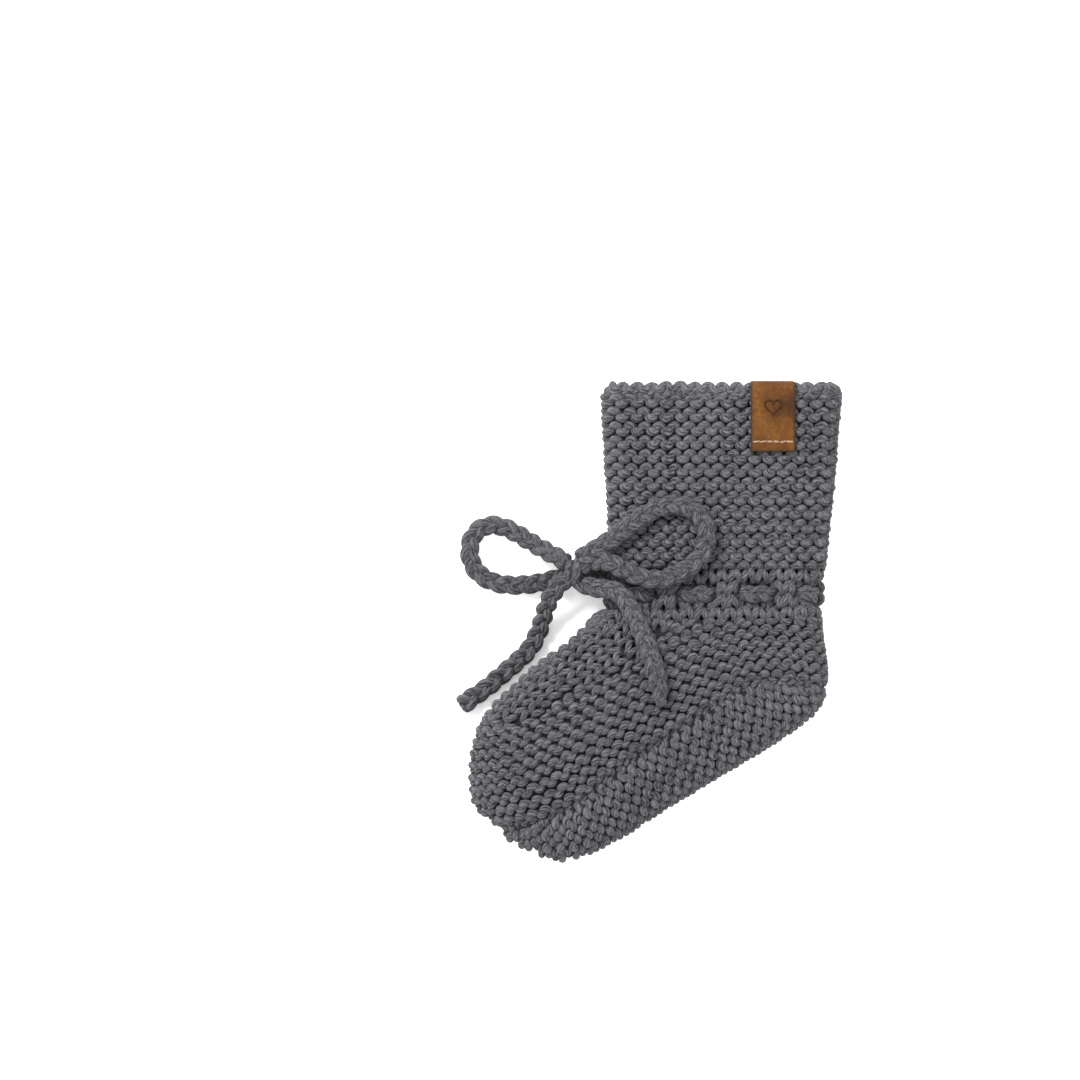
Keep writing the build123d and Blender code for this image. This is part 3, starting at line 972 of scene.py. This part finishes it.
shown *= np.clip((path[:, 0] + 9.0) / 3.0, 0, 1)
shown = np.convolve(np.pad(shown, 6, mode="edge"), np.ones(13) / 13, "valid")
path = path + facing * (2.5 * shown - 1.6)[:, None]
sideways = np.cross(tangent, facing)
inner_cord = Yarns()
free = np.clip((-11.5 - path[:, 0]) / 2.0, 0, 1) * top
scale = 0.65 + 0.35 * np.maximum(shown, free)
plait(inner_cord, path, along, sideways, facing, 1.35 * scale, 0.65 * scale, STRAND_RADIUS * scale, 0.6)
drawcord = inner_cord.build("drawcord_braid", CORD, None)
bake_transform(drawcord)
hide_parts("drawcord")

# ---- leather tab ----
TAB_X, TAB_WIDTH = 32.4, 12.3
TAB_BOTTOM = 48.0
TAB_TOP = 67.4
TAB_THICK = 1.3
TAB_RISE = 0.75          # of the leather's middle above the knitting


def tab_line(x):
    """The tab's middle line over the mouth's edge: down the outside and down the inside."""
    out_y = np.linspace(TAB_BOTTOM, TAB_TOP - 1.6, 26)
    outer, outer_n = lift(np.stack((np.full(26, x), out_y), axis=1), 1)
    outer = outer + outer_n * TAB_RISE
    inner, _ = lift(np.stack((np.full(20, x), np.linspace(TAB_TOP - 1.6, TAB_BOTTOM, 20)), axis=1), 1)
    inner = inner - np.array((0, 0, 1)) * 4.7
    top_z, low_z = outer[-1, 2], inner[0, 2]
    turn = np.linspace(0, math.pi, 12)[1:-1]
    bend = np.stack((np.full(10, x), TAB_TOP - 1.6 + 1.5 * np.sin(turn),
                     (top_z + low_z) / 2 + (top_z - low_z) / 2 * np.cos(turn)), axis=1)
    return np.concatenate((outer, bend, inner))


def tab_relief(places):
    """The leather's slight waves, as heights."""
    return 0.14 * np.cos(0.5 * places[:, 1]) - 0.12 * ((places[:, 0] - TAB_X) / (TAB_WIDTH / 2)) ** 2


def leather_material():
    n = Nodes("leather")
    nap = n.noise(n.where, 900.0, 4.0, 0.7)
    cloud = n.noise(n.where, 110.0, 3.0)
    edge = n.node("ShaderNodeAttribute", attribute_name="edge").outputs["Fac"]
    shade = n.math("ADD", n.math("MULTIPLY", nap, 0.35), n.math("MULTIPLY", cloud, 0.65))
    colour = n.ramp(shade, ((0.36, (0.030, 0.0105, 0.0014)), (0.52, (0.066, 0.0240, 0.0032)),
                            (0.66, (0.118, 0.0460, 0.0080))))
    dark = n.node("ShaderNodeMix", {"Factor": edge, "A": colour, "B": (0.022, 0.008, 0.002, 1)},
                  data_type="RGBA")
    bump = n.node("ShaderNodeBump", {"Height": nap, "Strength": 0.35, "Distance": 0.0003})
    return n.finish(dark.outputs[2], 0.8, 0.15, bump)


LEATHER = leather_material()
across_tab = np.linspace(-1, 1, 15)
columns = []
for a in across_tab:
    line = tab_line(TAB_X + a * TAB_WIDTH / 2)
    line[:, 2] += tab_relief(line)
    columns.append(line)
sheet = np.stack(columns, axis=1)
rows, cols = sheet.shape[:2]
down = np.gradient(sheet, axis=0)
side = np.gradient(sheet, axis=1)
face = unit(np.cross(side, down))
if face[5, 7, 2] < 0:
    face = -face
# A closed strip: top face, rounded rim and bottom face.
rim = []
for level, inward in ((0.5, 0.30), (0.32, 0.0), (-0.32, 0.0), (-0.5, 0.30)):
    layer = sheet + face * (level * TAB_THICK)
    pulled = layer.copy()
    pulled[:, 0] += (layer[:, 1] - layer[:, 0]) * inward
    pulled[:, -1] += (layer[:, -2] - layer[:, -1]) * inward
    pulled[0] += (layer[1] - layer[0]) * inward
    pulled[-1] += (layer[-2] - layer[-1]) * inward
    rim.append(pulled)
vertices = np.concatenate([layer.reshape(-1, 3) for layer in rim])
size = rows * cols


def grid_index(layer, i, j):
    return layer * size + i * cols + j


quads = []
for i in range(rows - 1):
    for j in range(cols - 1):
        quads.append((grid_index(0, i, j), grid_index(0, i, j + 1),
                      grid_index(0, i + 1, j + 1), grid_index(0, i + 1, j)))
        quads.append((grid_index(3, i, j), grid_index(3, i + 1, j),
                      grid_index(3, i + 1, j + 1), grid_index(3, i, j + 1)))
border = ([(0, j) for j in range(cols)] + [(i, cols - 1) for i in range(1, rows)]
          + [(rows - 1, j) for j in range(cols - 2, -1, -1)] + [(i, 0) for i in range(rows - 2, 0, -1)])
for layer in range(3):
    for (i, j), (m, n) in zip(border, border[1:] + border[:1]):
        quads.append((grid_index(layer, i, j), grid_index(layer + 1, i, j),
                      grid_index(layer + 1, m, n), grid_index(layer, m, n)))
quads = np.array(quads)
used = np.unique(quads)
renumber = np.full(len(vertices), -1)
renumber[used] = np.arange(len(used))
tab = new_object("label_leather", vertices[used], renumber[quads], None, LEATHER, "leg")
edge_attribute = tab.data.attributes.new("edge", "FLOAT", "POINT")
i_all, j_all = np.divmod(used % size, cols)
rim_level = used // size
near_edge = np.minimum(np.minimum(j_all, cols - 1 - j_all) * TAB_WIDTH / (cols - 1),
                       np.minimum(i_all, rows - 1 - i_all) * 0.75)
edge_value = np.where((rim_level == 1) | (rim_level == 2), 1.0, np.clip(1 - near_edge / 0.9, 0, 1) * 0.6)
edge_attribute.data.foreach_set("value", edge_value.astype(np.float32))
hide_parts("label_tab")


def grainy_material(name, scale, dark, light, roughness, specular):
    n = Nodes(name)
    return n.finish(n.ramp(n.noise(n.where, scale), ((0.35, dark), (0.7, light))), roughness, specular)


# Stitching: short pale stitches that dip into the leather.
THREAD = grainy_material("thread", 2500.0, (0.12, 0.07, 0.035), (0.31, 0.20, 0.12), 0.7, 0.5)
stitching = Yarns()
for k in range(6):
    x0 = TAB_X - 5.3 + k * 1.85 + rng.uniform(-0.15, 0.15)
    length = rng.uniform(1.15, 1.6)
    tilt = rng.uniform(-0.12, 0.32)
    xs = np.linspace(x0, x0 + length, 9)
    plan = np.stack((xs, 50.8 + tilt * np.linspace(-0.5, 0.5, 9)), axis=1)
    pts, nrm = lift(plan, 1)
    arch = np.sin(np.linspace(0, math.pi, 9))
    raised = (TAB_RISE + TAB_THICK / 2 - 0.1 + 0.30 * arch + tab_relief(pts))[:, None]
    stitching.add(pts + nrm * raised, nrm, 0.27)
threads = stitching.build("label_thread", THREAD, "leg")
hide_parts("label_stitching")

# A plain pressed heart.
MARK = grainy_material("pressed_mark", 1800.0, (0.016, 0.006, 0.001), (0.038, 0.015, 0.003), 0.9, 0.1)
mark = Yarns()
turn = np.linspace(0, 2 * math.pi, 48, endpoint=False)
height = 13 * np.cos(turn) - 5 * np.cos(2 * turn) - 2 * np.cos(3 * turn) - np.cos(4 * turn)
heart = np.stack((16 * np.sin(turn) ** 3, height), axis=1)
plan = np.array((TAB_X, 60.6)) + heart * 0.145
pts, nrm = lift(plan, 1)
raised = (TAB_RISE + TAB_THICK / 2 - 0.17 + tab_relief(pts))[:, None]
mark.add(pts + nrm * raised, nrm, 0.37, closed=True)
pressed = mark.build("label_mark", MARK, "leg")

# ---- stage, light and camera ----
floor_material = bpy.data.materials.new("paper")
floor_material.use_nodes = True
paper = floor_material.node_tree.nodes["Principled BSDF"].inputs
paper["Base Color"].default_value = (0.93, 0.93, 0.93, 1)
paper["Roughness"].default_value = 0.9
paper["Emission Color"].default_value = (1, 1, 1, 1)
paper["Emission Strength"].default_value = 0.25
bpy.ops.mesh.primitive_plane_add(size=8, location=(0, 0, -0.0001))
floor = bpy.context.object
floor.name = "floor"
floor.data.materials.append(floor_material)


def area_light(name, place, size, power):
    """A square light that faces the origin."""
    data = bpy.data.lights.new(name, "AREA")
    data.size, data.energy = size, power
    lamp = bpy.data.objects.new(name, data)
    lamp.location = place
    lamp.rotation_euler = (-Vector(place)).to_track_quat("-Z", "Y").to_euler()
    bpy.context.scene.collection.objects.link(lamp)


area_light("key", (-0.55, 0.65, 0.9), 0.45, 28)
area_light("fill", (0.8, -0.5, 0.9), 0.9, 8)
world = bpy.data.worlds.new("soft")
world.use_nodes = True
sky = world.node_tree.nodes["Background"].inputs
sky["Color"].default_value = (1, 1, 1, 1)
sky["Strength"].default_value = 1.55
bpy.context.scene.world = world
bpy.context.scene.view_settings.view_transform = "Standard"

VIEW_WIDTH = 0.3024
VIEW_CENTRE = (-0.0326, 0.0234)
CAMERA_HEIGHT = 1.5
camera_data = bpy.data.cameras.new("camera")
camera_data.sensor_width = 36
camera_data.lens = 36 * (CAMERA_HEIGHT - 0.012) / VIEW_WIDTH
camera = bpy.data.objects.new("camera", camera_data)
camera.location = (*VIEW_CENTRE, CAMERA_HEIGHT)
bpy.context.scene.collection.objects.link(camera)
bpy.context.scene.camera = camera
